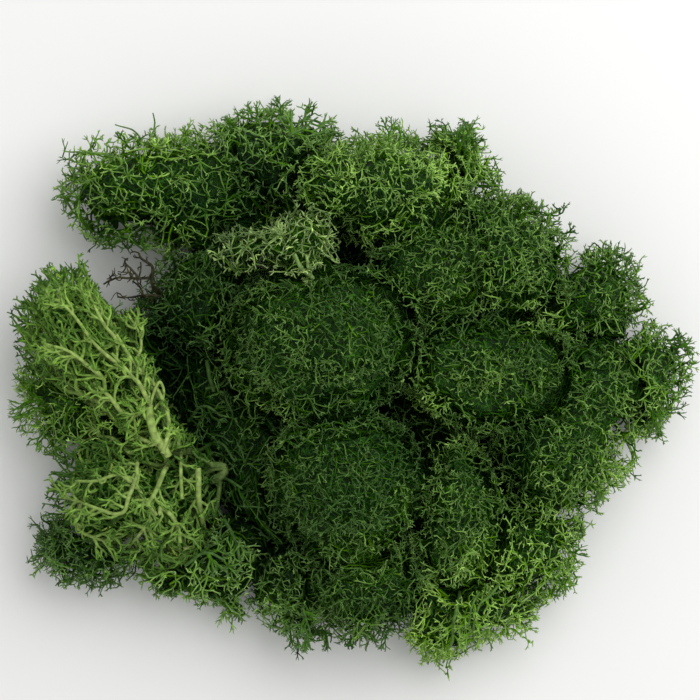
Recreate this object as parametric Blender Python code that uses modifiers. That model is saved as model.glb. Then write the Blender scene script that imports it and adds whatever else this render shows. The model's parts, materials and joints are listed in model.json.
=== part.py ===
"""A clump of preserved reindeer moss lying on a table: rounded tufts grown side by side,
pressed together on a flat torn underside, with one bare twig bridging a gap at the left.

Metres, +Z up. +X runs along the clump's length and -Y is its front. The origin is on the
table, under the middle of the clump.
"""

import bmesh
import bpy
from mathutils import Vector

MM = 0.001

# Fit between the tufts, and how finely each one is modelled.
CLEARANCE = 0.3 * MM
FUSE_VOXEL = 2.6 * MM
KEPT_SHARE_OF_FACES = 0.11
LUMP_SIZE = 11 * MM
LUMP_HEIGHT = 2.4 * MM
ROOT_STRETCH = 1.7  # a lobe's lower half against its upper half
TABLE_BLOCK = 400 * MM
TWIG_THICKNESS = 1.5 * MM
WELD = 0.001 * MM

# The finishes, as linear colours.
LEAF_GREEN = (0.11, 0.25, 0.055)
DEEP_GREEN = (0.06, 0.16, 0.045)
PALE_GREEN = (0.30, 0.42, 0.13)
BRIGHT_GREEN = (0.19, 0.37, 0.08)
BARE_BROWN = (0.09, 0.07, 0.035)
MATTE_ROUGHNESS = 0.85

# Each tuft is a few overlapping lobes: centre x, y, z and half-widths x, y, z, in millimetres.
# The list runs from the tuft that lies over its neighbours to the one that lies under them all.
TUFTS = {
    "pale_tuft": (PALE_GREEN, [(-13, 32, 41, 12, 9.5, 10), (-26, 30, 36, 7, 7, 7)]),
    "centre_tuft": (LEAF_GREEN, [(-7, 9, 26, 23, 19, 26)]),
    "crown_tuft": (LEAF_GREEN, [(7, 45, 25, 20, 14.5, 25)]),
    "middle_tuft": (LEAF_GREEN, [(19, 27, 26, 16, 15, 20)]),
    "front_tuft": (LEAF_GREEN, [(-1, -24, 24, 19, 19, 24)]),
    "back_right_tuft": (LEAF_GREEN, [(35, 30, 20, 17, 16.5, 24)]),
    "front_ridge_tuft": (LEAF_GREEN, [(24, -31, 23, 11, 18.5, 20)]),
    "inner_right_tuft": (DEEP_GREEN, [(31, 3, 20, 20, 15, 22)]),
    "left_head_tuft": (
        BRIGHT_GREEN,
        [(-63, 14, 19, 16, 14, 21), (-50, -1, 19, 10, 10, 14), (-44, -12, 21, 8, 9, 11)],
    ),
    "right_front_tuft": (LEAF_GREEN, [(49, -17, 17, 16.5, 15, 21), (56, -2, 16, 13, 13, 17)]),
    "front_low_tuft": (LEAF_GREEN, [(3, -47, 16, 14, 14, 20), (9, -40, 13, 8, 8, 14)]),
    "left_fan_tuft": (PALE_GREEN, [(-54, -25, 14, 17, 14, 18), (-41, -28, 17, 10, 15, 15)]),
    "back_sprig_tuft": (LEAF_GREEN, [(24, 49, 15, 12, 10, 16), (27, 56, 14, 5, 5.5, 9)]),
    "right_shoulder_tuft": (DEEP_GREEN, [(58, 19, 14, 11, 12, 17), (49, 16, 10, 10, 9, 12)]),
    "right_end_tuft": (LEAF_GREEN, [(66, 0, 13, 12.5, 14.5, 14), (75, 6, 13, 5, 5, 6)]),
    "front_right_tuft": (LEAF_GREEN, [(42, -38, 14, 13.5, 13, 16), (35, -30, 12, 10, 9, 12)]),
    "back_left_tuft": (
        LEAF_GREEN,
        [(-52, 44.5, 14, 17, 12, 15), (-40, 44, 15, 18, 14.5, 17), (-24, 41, 12, 15, 13, 13)],
    ),
    "back_tuft": (DEEP_GREEN, [(-18, 51, 13, 18, 14, 17)]),
    "left_inner_tuft": (DEEP_GREEN, [(-33, 21, 14, 12.5, 14, 17)]),
    "front_right_edge_tuft": (LEAF_GREEN, [(26, -51, 12, 19, 13, 14), (22, -60, 9, 10, 6, 10)]),
    "front_edge_tuft": (DEEP_GREEN, [(-13, -50, 11, 12, 12.5, 14)]),
    "left_side_tuft": (LEAF_GREEN, [(-64, -8, 11, 14, 11, 13), (-73, -2, 10, 7, 6, 8)]),
    "left_corner_tuft": (DEEP_GREEN, [(-62, -39, 11, 13, 10, 13)]),
    "left_front_tuft": (DEEP_GREEN, [(-32, -41, 10, 15, 11, 13), (-27, -50, 7, 7, 6, 8)]),
    "back_hollow_tuft": (DEEP_GREEN, [(-3, 32, 6, 13, 12, 13)]),
    "right_hollow_tuft": (DEEP_GREEN, [(15, -9, 5, 12, 12, 9), (33, -15, 5, 12, 10, 10)]),
    "left_hollow_tuft": (
        DEEP_GREEN,
        [(-40, 10, 6, 11, 13, 10), (-32, -5, 6, 15, 22, 11), (-19, -25, 8, 13, 19, 13)],
    ),
}

# The bare twig's line, in millimetres: up out of the hollow, and over the gap to the left head.
TWIG_POINTS = [
    (-45, 16, 18),
    (-47, 20.5, 22),
    (-48.5, 23.5, 24),
    (-52, 24.5, 25),
    (-55, 24, 24.5),
    (-58.5, 22, 23),
]
TWIG_ROOM = 1


def clear_scene():
    for obj in list(bpy.data.objects):
        bpy.data.objects.remove(obj, do_unlink=True)


def new_collection(name):
    collection = bpy.data.collections.new(name)
    bpy.context.scene.collection.children.link(collection)
    return collection


def matte_material(name, colour):
    material = bpy.data.materials.new(name)
    material.use_nodes = True
    shader = material.node_tree.nodes["Principled BSDF"]
    shader.inputs["Base Color"].default_value = (*colour, 1)
    shader.inputs["Roughness"].default_value = MATTE_ROUGHNESS
    shader.inputs["Metallic"].default_value = 0
    return material


def lobes_mesh(name, lobes):
    """Icospheres stretched to the lobes' sizes, more so below, where a tuft narrows to its roots."""
    shape = bmesh.new()
    for x, y, z, half_x, half_y, half_z in lobes:
        ball = bmesh.ops.create_icosphere(shape, subdivisions=4, radius=1)["verts"]
        roots = [vert for vert in ball if vert.co.z < 0]
        bmesh.ops.scale(shape, verts=roots, vec=(1, 1, ROOT_STRETCH))
        bmesh.ops.scale(shape, verts=ball, vec=Vector((half_x, half_y, half_z)) * MM)
        bmesh.ops.translate(shape, verts=ball, vec=Vector((x, y, z)) * MM)
    mesh = bpy.data.meshes.new(name)
    shape.to_mesh(mesh)
    shape.free()
    return mesh


def lump_texture():
    texture = bpy.data.textures.new("moss_lumps", "CLOUDS")
    texture.noise_scale = LUMP_SIZE
    texture.noise_depth = 1
    return texture


def add_shape_modifiers(obj, texture):
    """Fuses the lobes into one skin, raises soft lumps on it and thins its faces."""
    fuse = obj.modifiers.new("fuse_lobes", "REMESH")
    fuse.mode = "VOXEL"
    fuse.voxel_size = FUSE_VOXEL
    lumps = obj.modifiers.new("lumps", "DISPLACE")
    lumps.texture = texture
    lumps.texture_coords = "GLOBAL"
    lumps.strength = LUMP_HEIGHT
    thin = obj.modifiers.new("thin_faces", "DECIMATE")
    thin.ratio = KEPT_SHARE_OF_FACES


def add_cut(obj, cutter):
    cut = obj.modifiers.new("clear_of_" + cutter.name, "BOOLEAN")
    cut.operation = "DIFFERENCE"
    cut.solver = "EXACT"
    cut.object = cutter


def as_helper(obj, collection):
    obj.hide_render = True
    obj.display_type = "WIRE"
    collection.objects.link(obj)
    return obj


def clearance_around(obj, cutters, texture):
    """The same skin, grown by the clearance: it cuts the room that a tuft takes from others."""
    cutter = as_helper(bpy.data.objects.new(obj.name + "_clearance", obj.data), cutters)
    add_shape_modifiers(cutter, texture)
    grow = cutter.modifiers.new("grow", "DISPLACE")
    grow.mid_level = 0
    grow.strength = CLEARANCE
    return cutter


def table_cutter(cutters):
    """A block under the table's surface, which cuts the clump's underside flat."""
    shape = bmesh.new()
    bmesh.ops.create_cube(shape, size=TABLE_BLOCK)
    bmesh.ops.translate(shape, verts=shape.verts, vec=(0, 0, -TABLE_BLOCK / 2))
    mesh = bpy.data.meshes.new("table_block")
    shape.to_mesh(mesh)
    shape.free()
    return as_helper(bpy.data.objects.new("table_block", mesh), cutters)


def boxes_meet(first, second):
    lows = [max(a, b) for a, b in zip(first[0], second[0])]
    highs = [min(a, b) for a, b in zip(first[1], second[1])]
    return all(low < high for low, high in zip(lows, highs))


def box_of(lobes):
    """Lowest and highest corner of the lobes, roots included, with room for the lumps."""
    room = LUMP_HEIGHT / MM
    down = (1, 1, ROOT_STRETCH)
    low = [min(lobe[i] - lobe[i + 3] * down[i] for lobe in lobes) - room for i in range(3)]
    high = [max(lobe[i] + lobe[i + 3] for lobe in lobes) + room for i in range(3)]
    return low, high


def loose_islands(shape):
    """The faces of each body in a mesh that a cut may have left in more than one."""
    left = set(shape.faces)
    islands = []
    while left:
        found, edge_of_search = set(), [left.pop()]
        while edge_of_search:
            face = edge_of_search.pop()
            found.add(face)
            near = {other for edge in face.edges for other in edge.link_faces} & left
            left -= near
            edge_of_search.extend(near)
        islands.append(found)
    return islands


def apply_and_trim(obj):
    """Applies the modifiers, and drops the crumbs that a cut left on a neighbour's far side."""
    bpy.context.view_layer.update()
    evaluated = obj.evaluated_get(bpy.context.evaluated_depsgraph_get())
    mesh = bpy.data.meshes.new_from_object(evaluated)
    shape = bmesh.new()
    shape.from_mesh(mesh)
    bmesh.ops.triangulate(shape, faces=shape.faces)
    islands = sorted(loose_islands(shape), key=len)
    crumbs = [face for island in islands[:-1] for face in island]
    bmesh.ops.delete(shape, geom=crumbs, context="FACES")
    shape.to_mesh(mesh)
    shape.free()
    return mesh


def fit_among(obj, box, above, table):
    """Cuts a piece flat where it meets the table, and clear of those that lie over it."""
    add_cut(obj, table)
    for cutter, cutter_box in above:
        if boxes_meet(box, cutter_box):
            add_cut(obj, cutter)


def make_tufts(clump, cutters, table):
    """The tufts, still with their modifiers, and the room that each one takes."""
    texture = lump_texture()
    tufts, above = [], []
    for name, (_, lobes) in TUFTS.items():
        tuft = bpy.data.objects.new(name, lobes_mesh(name, lobes))
        clump.objects.link(tuft)
        add_shape_modifiers(tuft, texture)
        box = box_of(lobes)
        fit_among(tuft, box, above, table)
        above.append((clearance_around(tuft, cutters, texture), box))
        tufts.append(tuft)
    return tufts, above


def twig_mesh():
    """A bent tube with closed ends, made a mesh so that it can be cut to fit."""
    curve = bpy.data.curves.new("twig_line", "CURVE")
    curve.dimensions = "3D"
    curve.bevel_depth = TWIG_THICKNESS / 2
    curve.bevel_resolution = 2
    curve.use_fill_caps = True
    spline = curve.splines.new("POLY")
    spline.points.add(len(TWIG_POINTS) - 1)
    for point, place in zip(spline.points, TWIG_POINTS):
        point.co = (*(Vector(place) * MM), 1)
    tube = bpy.data.objects.new("twig_line", curve)
    bpy.context.scene.collection.objects.link(tube)
    bpy.context.view_layer.update()
    mesh = bpy.data.meshes.new_from_object(tube.evaluated_get(bpy.context.evaluated_depsgraph_get()))
    bpy.data.objects.remove(tube)
    shape = bmesh.new()
    shape.from_mesh(mesh)
    bmesh.ops.remove_doubles(shape, verts=shape.verts, dist=WELD)
    bmesh.ops.recalc_face_normals(shape, faces=shape.faces)
    shape.to_mesh(mesh)
    shape.free()
    return mesh


def make_twig(clump, above, table):
    twig = bpy.data.objects.new("bare_twig", twig_mesh())
    clump.objects.link(twig)
    room = (TWIG_ROOM,) * 3
    fit_among(twig, box_of([(*place, *room) for place in TWIG_POINTS]), above, table)
    return twig


def stand_on_origin(pieces, cutters):
    """Hangs everything on an empty, and moves it so that the clump's middle is at the origin."""
    bpy.context.view_layer.update()
    corners = [piece.matrix_world @ Vector(c) for piece in pieces for c in piece.bound_box]
    middle = [(min(c[i] for c in corners) + max(c[i] for c in corners)) / 2 for i in range(2)]
    holder = bpy.data.objects.new("clump_place", None)
    bpy.context.scene.collection.objects.link(holder)
    for obj in [*pieces, *cutters.objects]:
        obj.parent = holder
    holder.location = (-middle[0], -middle[1], 0)


def main():
    clear_scene()
    clump = new_collection("moss_clump")
    cutters = new_collection("cutters")
    table = table_cutter(cutters)
    tufts, above = make_tufts(clump, cutters, table)
    pieces = [*tufts, make_twig(clump, above, table)]
    meshes = [apply_and_trim(piece) for piece in pieces]
    for piece, mesh in zip(pieces, meshes):
        colour = TUFTS[piece.name][0] if piece.name in TUFTS else BARE_BROWN
        mesh.materials.clear()
        mesh.materials.append(matte_material(piece.name + "_finish", colour))
        piece.modifiers.clear()
        piece.data = mesh
    stand_on_origin(pieces, cutters)


main()
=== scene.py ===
import json
import math

import bpy
import numpy as np
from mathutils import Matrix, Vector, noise
from mathutils.bvhtree import BVHTree
from mathutils.kdtree import KDTree

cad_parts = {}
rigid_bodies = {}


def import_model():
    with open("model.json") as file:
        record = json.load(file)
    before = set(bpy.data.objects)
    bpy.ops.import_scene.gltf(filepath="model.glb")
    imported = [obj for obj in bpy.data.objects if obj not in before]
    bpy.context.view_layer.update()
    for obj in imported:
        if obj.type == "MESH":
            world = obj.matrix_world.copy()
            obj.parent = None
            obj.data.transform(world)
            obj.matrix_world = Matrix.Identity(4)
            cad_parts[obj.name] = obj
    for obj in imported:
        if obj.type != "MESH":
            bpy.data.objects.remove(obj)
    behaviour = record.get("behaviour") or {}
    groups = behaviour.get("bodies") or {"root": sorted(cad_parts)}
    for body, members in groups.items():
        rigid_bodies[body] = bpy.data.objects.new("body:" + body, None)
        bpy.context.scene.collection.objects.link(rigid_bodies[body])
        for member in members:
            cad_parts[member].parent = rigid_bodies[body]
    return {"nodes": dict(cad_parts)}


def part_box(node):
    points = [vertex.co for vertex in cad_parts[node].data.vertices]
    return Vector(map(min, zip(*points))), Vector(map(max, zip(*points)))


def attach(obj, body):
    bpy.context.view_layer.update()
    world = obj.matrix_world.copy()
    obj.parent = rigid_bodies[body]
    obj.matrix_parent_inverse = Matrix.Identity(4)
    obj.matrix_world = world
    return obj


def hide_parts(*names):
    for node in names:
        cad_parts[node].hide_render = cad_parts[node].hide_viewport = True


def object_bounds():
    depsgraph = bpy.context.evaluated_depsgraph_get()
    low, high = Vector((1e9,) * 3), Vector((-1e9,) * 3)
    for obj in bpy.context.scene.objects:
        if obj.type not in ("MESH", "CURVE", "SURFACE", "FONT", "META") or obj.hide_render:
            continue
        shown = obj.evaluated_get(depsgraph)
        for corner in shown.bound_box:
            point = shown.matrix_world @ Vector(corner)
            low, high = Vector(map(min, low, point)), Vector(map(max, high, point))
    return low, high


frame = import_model()
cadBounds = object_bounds()
mm = 0.001
scene = bpy.context.scene


def linear(code):
    # sRGB hex to the linear colour that the shaders take
    parts = [int(code[i:i + 2], 16) / 255 for i in (1, 3, 5)]
    return tuple(c / 12.92 if c <= 0.04045 else ((c + 0.055) / 1.055) ** 2.4 for c in parts) + (1,)


def addNode(tree, kind, settings=None, links=None):
    # one node, its settings by name, and its sockets either set or fed by another node's socket
    node = tree.nodes.new(kind)
    for name, value in (settings or {}).items():
        setattr(node, name, value)
    for name, value in (links or {}).items():
        if isinstance(value, bpy.types.NodeSocket):
            tree.links.new(value, node.inputs[name])
        else:
            node.inputs[name].default_value = value
    return node


def newMaterial(name):
    made = bpy.data.materials.new(name)
    made.use_nodes = True
    made.node_tree.nodes.clear()
    return made, made.node_tree


def newObject(name, data):
    made = bpy.data.objects.new(name, data)
    scene.collection.objects.link(made)
    return made


def ranged(tree, value, to, source=(0, 1)):
    # a value between the two of source, drawn out to lie between the two of to
    node = addNode(tree, "ShaderNodeMapRange", {}, {
        "Value": value, "From Min": source[0], "From Max": source[1],
        "To Min": to[0], "To Max": to[1]})
    return node.outputs["Result"]


def times(tree, a, b):
    return addNode(tree, "ShaderNodeMath", {"operation": "MULTIPLY"}, {0: a, 1: b}).outputs["Value"]


def patchesOf(tree, where, size, detail, output="Fac"):
    # cloudy noise, with its size in millimetres
    node = addNode(tree, "ShaderNodeTexNoise", {}, {
        "Vector": where, "Scale": 1 / (size * mm), "Detail": detail})
    return node.outputs[output]


def rampOf(tree, value, colours):
    # colours are pairs of a place and a hex code, the two end ones first
    node = addNode(tree, "ShaderNodeValToRGB", {}, {"Fac": value})
    stops = node.color_ramp.elements
    for stop, (place, code) in zip(stops, colours[:2]):
        stop.position, stop.color = place, linear(code)
    for place, code in colours[2:]:
        stops.new(place).color = linear(code)
    return node.outputs["Color"]


def coat(tree, sockets):
    shader = addNode(tree, "ShaderNodeBsdfPrincipled", {}, sockets)
    addNode(tree, "ShaderNodeOutputMaterial", {}, {"Surface": shader.outputs["BSDF"]})


# Dyed reindeer lichen: soaked in glycerine and green dye, then dried, so it is matt all over.
# The dye lies strongest where the stems are young. Where a ramp darkens towards the heart, that is
# partly the old stems' own colour and partly painted shade of the clump's depths, and the tips are
# greyed a little as painted sheen of the glycerine. What it gives the eye is pale tips over dark
# depths.
dyeAndShadeColours = {
    "green_moss": {
        "tip": "#6d8b50", "young": "#426b1d", "old": "#28500c", "base": "#23490b",
        "heart": "#234016",
    },
    "deep_moss": {
        "tip": "#63814e", "young": "#3b621c", "old": "#25490d", "base": "#1f4209",
        "heart": "#1d3615",
    },
    "bright_moss": {
        "tip": "#668d3f", "young": "#779a4b", "old": "#87a358", "base": "#90a362",
        "heart": "#2c5014",
    },
    "pale_moss": {
        "tip": "#9bb276", "young": "#6c8f44", "old": "#426322", "base": "#2d4d11",
        "heart": "#24460f",
    },
}
dyeAndShadeStops = {"young": 0.25, "old": 0.5, "base": 0.9}     # from the tip, 0, to the heart, 1
mossFinish = {
    "roughness": 0.62, "roughnessSpread": 0.1, "specular": 0.12, "saturation": 1.08,
    # hue and strength at the lowest tone and at the highest: the tone holds the dye's take-up,
    # painted shade and painted light
    "hue": (0.52, 0.479), "strength": (0.52, 2.75),
    "patch": 1.3, "patchDetail": 3, "patchFrom": (0.3, 0.7), "patchStrength": (0.6, 1.4),
    "felt": 0.35, "feltDetail": 2, "feltDepth": 0.06, "feltBump": 0.6,
    # the net of dead stems: from mesh to mesh, how far it bends, and half a strand's width with
    # where it fades out, then the strengths of strand and of the gap, whose darkness is painted
    # shade
    "mat": 1.3, "matBend": 1.6, "matStrand": (0.02, 0.17), "matStrandAndGapShade": (2.3, 0.45),
    "matDepth": 0.35, "matBump": 0.8, "heartFrom": (0.93, 0.97),
}


def dyedLichen(name, dye):
    look = mossFinish
    made, tree = newMaterial(name)
    where = addNode(tree, "ShaderNodeTexCoord").outputs["Object"]
    age, tone = (addNode(tree, "ShaderNodeAttribute", {"attribute_name": label}).outputs["Fac"]
                 for label in ("age", "tone"))
    # the ramp by age: its darkening towards the heart is partly painted shade, its greyed tips
    # painted sheen
    colour = rampOf(tree, age, [(0, dye["tip"]), (1, dye["heart"])]
                    + [(place, dye[part]) for part, place in dyeAndShadeStops.items()])
    # each branch took up the dye a little differently; the tone also brings painted shade from dips
    # and closed-in places and painted light from the rim, as hue and strength
    hue = ranged(tree, tone, look["hue"])
    strong = addNode(tree, "ShaderNodeMath", {"operation": "POWER"}, {0: tone, 1: 2})
    strength = ranged(tree, strong.outputs["Value"], look["strength"])
    # patchy dye, 1.3 mm from patch to patch
    patches = patchesOf(tree, where, look["patch"], look["patchDetail"])
    patches = ranged(tree, patches, look["patchStrength"], look["patchFrom"])
    strength = times(tree, strength, patches)
    # the matted heart is painted as a net of dead stems with painted shade in the gaps, so that it
    # never looks smooth between the live ones
    bend = patchesOf(tree, where, 1.5 * look["mat"], 1, "Color")
    bent = addNode(tree, "ShaderNodeVectorMath", {"operation": "MULTIPLY_ADD"}, {
        0: bend, 1: (look["matBend"] * mm,) * 3, 2: where})
    net = addNode(tree, "ShaderNodeTexVoronoi", {"feature": "DISTANCE_TO_EDGE"}, {
        "Vector": bent.outputs["Vector"], "Scale": 1 / (look["mat"] * mm)})
    strand = ranged(tree, net.outputs["Distance"], look["matStrandAndGapShade"], look["matStrand"])
    inHeart = ranged(tree, age, (0, 1), look["heartFrom"])
    netted = addNode(tree, "ShaderNodeMix", {}, {"Factor": inHeart, "A": 1.0, "B": strand})
    netted = netted.outputs["Result"]
    mixed = addNode(tree, "ShaderNodeHueSaturation", {}, {
        "Hue": hue, "Saturation": look["saturation"], "Value": times(tree, strength, netted),
        "Color": colour})
    # the felt of fine threads on a stem: single threads are too fine to draw,
    # so they are drawn as bundles 0.35 mm apart
    felt = patchesOf(tree, where, look["felt"], look["feltDetail"])
    bump = addNode(tree, "ShaderNodeBump", {}, {
        "Height": felt, "Strength": look["feltBump"], "Distance": look["feltDepth"] * mm})
    bump = addNode(tree, "ShaderNodeBump", {}, {
        "Height": netted, "Strength": look["matBump"], "Distance": look["matDepth"] * mm,
        "Normal": bump.outputs["Normal"]})
    spread = look["roughnessSpread"]
    rough = ranged(tree, felt, (look["roughness"] - spread, look["roughness"] + spread))
    coat(tree, {"Base Color": mixed.outputs["Color"], "Roughness": rough,
                "Specular IOR Level": look["specular"], "Normal": bump.outputs["Normal"]})
    return made


finishes = {name: dyedLichen(name, dye) for name, dye in dyeAndShadeColours.items()}
print("finishes made")


class Growth:
    # the tubes of one tuft, gathered until they become one mesh
    def __init__(self):
        self.points, self.ages, self.tones = [], [], []
        self.quads, self.tris = [], []
        self.count = 0

    def add(self, points, ages, tones, quads, tris):
        self.points.append(points)
        self.ages.append(ages)
        self.tones.append(tones)
        self.quads.append(quads + self.count)
        self.tris.append(tris + self.count)
        self.count += len(points)


def unit(v):
    return v / np.maximum(np.linalg.norm(v, axis=-1, keepdims=True), 1e-9)


def across(direction, rng):
    # a random direction at right angles to each of these
    other = rng.normal(size=direction.shape)
    return unit(other - direction * (other * direction).sum(-1, keepdims=True))


def turned(direction, degrees, least, more, rng):
    # each turned to any side, by its own share of the degrees
    angle = np.radians(degrees) * (least + more * rng.random((len(direction), 1)))
    return unit(direction * np.cos(angle) + across(direction, rng) * np.sin(angle))


def varied(spread, size, rng):
    # numbers evenly spread about 1
    return 1 - spread / 2 + spread * rng.random(size)


tube = {
    "bend": 0.38,           # how far a stem holds the way it sets off, in shares of its length
    "pointFrom": 0.6,       # where a tip begins to narrow to its point
    "clearance": 0.05,      # between a stem and the floor
}


def addStems(growth, start, leaving, arriving, end, radii, ages, tone, steps, sides, pointed, rng):
    # tubes from start to end, along curves that leave and arrive in the given directions
    n = len(start)
    if n == 0:
        return
    rings = steps if pointed else steps + 1
    t = np.linspace(0, tube["pointFrom"] if pointed else 1, rings)[None, :, None]
    reach = np.linalg.norm(end - start, axis=1, keepdims=True) * tube["bend"]
    a, d = start[:, None], end[:, None]
    b, c = a + (leaving * reach)[:, None], d - (arriving * reach)[:, None]
    line = (1 - t) ** 3 * a + 3 * t * (1 - t) ** 2 * b + 3 * t ** 2 * (1 - t) * c + t ** 3 * d
    radius = radii[0][:, None] * (1 - t[..., 0]) + radii[1][:, None] * t[..., 0]
    line[..., 2] = np.maximum(line[..., 2], radius + tube["clearance"])
    along = unit((1 - t) ** 2 * (b - a) + 2 * t * (1 - t) * (c - b) + t ** 2 * (d - c) + 1e-6)
    side = across(unit(end - start + 1e-6), rng)[:, None]
    side = unit(side - along * (side * along).sum(-1, keepdims=True))
    up = np.cross(along, side)
    turn = 2 * math.pi * np.arange(sides) / sides
    radius = radius[..., None, None]
    ring = side[:, :, None] * np.cos(turn)[None, None, :, None]
    ring = ring + up[:, :, None] * np.sin(turn)[None, None, :, None]
    points = (line[:, :, None] + radius * ring).reshape(n, rings * sides, 3)
    age = (ages[0][:, None] * (1 - t[..., 0]) + ages[1][:, None] * t[..., 0])
    age = np.repeat(age, sides, axis=1)
    if pointed:
        points = np.concatenate([points, end[:, None]], axis=1)
        age = np.concatenate([age, ages[1][:, None]], axis=1)
    each = points.shape[1]
    first = (np.arange(n) * each)[:, None, None]
    k = np.arange(sides)
    row = (np.arange(rings - 1) * sides)[:, None]
    quad = np.stack([row + k, row + (k + 1) % sides, row + sides + (k + 1) % sides,
                     row + sides + k], -1).reshape(-1, 4)
    quads = (first + quad[None]).reshape(-1, 4)
    tris = np.zeros((0, 3), int)
    if pointed:
        last = (rings - 1) * sides
        tri = np.stack([last + k, last + (k + 1) % sides, np.full(sides, each - 1)], -1)
        tris = (first + tri[None]).reshape(-1, 3)
    growth.add(points.reshape(-1, 3), age.ravel(), np.repeat(tone, each), quads, tris)


def meshOf(growth, name, finish):
    points = np.concatenate(growth.points) * mm
    ages = np.concatenate(growth.ages).clip(0, 1)
    tones = np.concatenate(growth.tones).clip(0, 1)
    quads = np.concatenate(growth.quads)
    tris = np.concatenate(growth.tris)
    corners = np.concatenate([quads.ravel(), tris.ravel()])
    totals = np.concatenate([np.full(len(quads), 4), np.full(len(tris), 3)])
    starts = np.concatenate([[0], np.cumsum(totals)[:-1]])
    mesh = bpy.data.meshes.new(name)
    mesh.vertices.add(len(points))
    mesh.vertices.foreach_set("co", points.astype(np.float32).ravel())
    mesh.loops.add(len(corners))
    mesh.loops.foreach_set("vertex_index", corners.astype(np.int32))
    mesh.polygons.add(len(totals))
    mesh.polygons.foreach_set("loop_start", starts.astype(np.int32))
    mesh.polygons.foreach_set("use_smooth", np.ones(len(totals), bool))
    mesh.update(calc_edges=True)
    for label, values in (("age", ages), ("tone", tones)):
        layer = mesh.attributes.new(label, "FLOAT", "POINT")
        layer.data.foreach_set("value", values.astype(np.float32))
    # a map by age and tone, since those two give a stem its colour; its margin is 2%
    chart = mesh.uv_layers.new(name="OFBake")
    places = 0.02 + 0.96 * np.stack([ages, tones], 1)[corners]
    chart.uv.foreach_set("vector", places.astype(np.float32).ravel())
    mesh.materials.append(finish)
    return newObject(name, mesh), 2 * len(quads) + len(tris)


def readMesh(mesh):
    # its points, their normals and its triangles
    mesh.calc_loop_triangles()
    columns = []
    for rows, field, kind in ((mesh.vertices, "co", np.float32),
                              (mesh.vertices, "normal", np.float32),
                              (mesh.loop_triangles, "vertices", np.int32)):
        values = np.empty(len(rows) * 3, kind)
        rows.foreach_get(field, values)
        columns.append(values.reshape(-1, 3))
    return columns[0] / mm, columns[1], columns[2]


def solidOf(node):
    # with the points that share a place joined, to a thousandth of a millimetre
    points, _, faces = readMesh(frame["nodes"][node].data)
    points, place = np.unique(np.round(points, 3), axis=0, return_inverse=True)
    return points, place.reshape(-1)[faces]


def boxPoint(node, share):
    low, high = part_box(node)
    return np.array([low[i] + (high[i] - low[i]) * share[i] for i in range(3)]) / mm


def scatter(points, faces, count, rng):
    # points spread over a solid's faces by area, with soft normals
    corner = points[faces]
    flat = np.cross(corner[:, 1] - corner[:, 0], corner[:, 2] - corner[:, 0])
    area = np.linalg.norm(flat, axis=1)
    normals = np.zeros_like(points)
    for i in range(3):
        np.add.at(normals, faces[:, i], flat)
    normals = unit(normals)
    chosen = rng.choice(len(faces), count, p=area / area.sum())
    a, b = rng.random(count), rng.random(count)
    over = a + b > 1
    a[over], b[over] = 1 - a[over], 1 - b[over]
    weight = np.stack([1 - a - b, a, b], 1)[..., None]
    place = (corner[chosen] * weight).sum(1)
    normal = (normals[faces[chosen]] * weight).sum(1)
    return place, unit(normal + 0.5 * unit(flat[chosen])), area.sum() / 2


def spreadOver(points, faces, spacing, crowd, rng):
    # as many places as leave enough of them once they are thinned out to the spacing
    area = scatter(points, faces, 1, rng)[2]
    return scatter(points, faces, int(area / spacing ** 2 * crowd), rng)[:2]


def pointTree(points):
    tree = KDTree(len(points))
    for i, p in enumerate(points):
        tree.insert(p, i)
    tree.balance()
    return tree


def thinOut(points, spacing):
    # the indices of points that are kept, none nearer than spacing to another
    tree = pointTree(points)
    alive = np.ones(len(points), bool)
    kept = []
    for i, p in enumerate(points):
        if alive[i]:
            kept.append(i)
            for _, j, _ in tree.find_range(p, spacing):
                alive[j] = False
    return np.array(kept, int)


def nearest(points, targets):
    tree = pointTree(targets)
    found = [tree.find(p) for p in points]
    return np.array([f[1] for f in found], int), np.array([f[2] for f in found])


def oneOfNearest(points, targets, choices, rng):
    # not always the nearest: stems that pass over each other make the tangle
    tree = pointTree(targets)
    picks = rng.integers(0, choices, len(points))
    found = [tree.find_n(p, choices) for p in points]
    return np.array([f[min(pick, len(f) - 1)][1] for f, pick in zip(found, picks)], int)


def fading(distance, width):
    # 1 at no distance, 0 well past the width
    return np.exp(-(distance / width) ** 2)


def rayDistances(tree, places, directions, far):
    found = np.full(len(places), far)
    for i, (p, d) in enumerate(zip(places, directions)):
        hit = tree.ray_cast(p, d, far)
        if hit[3] is not None:
            found[i] = hit[3]
    return found


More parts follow.
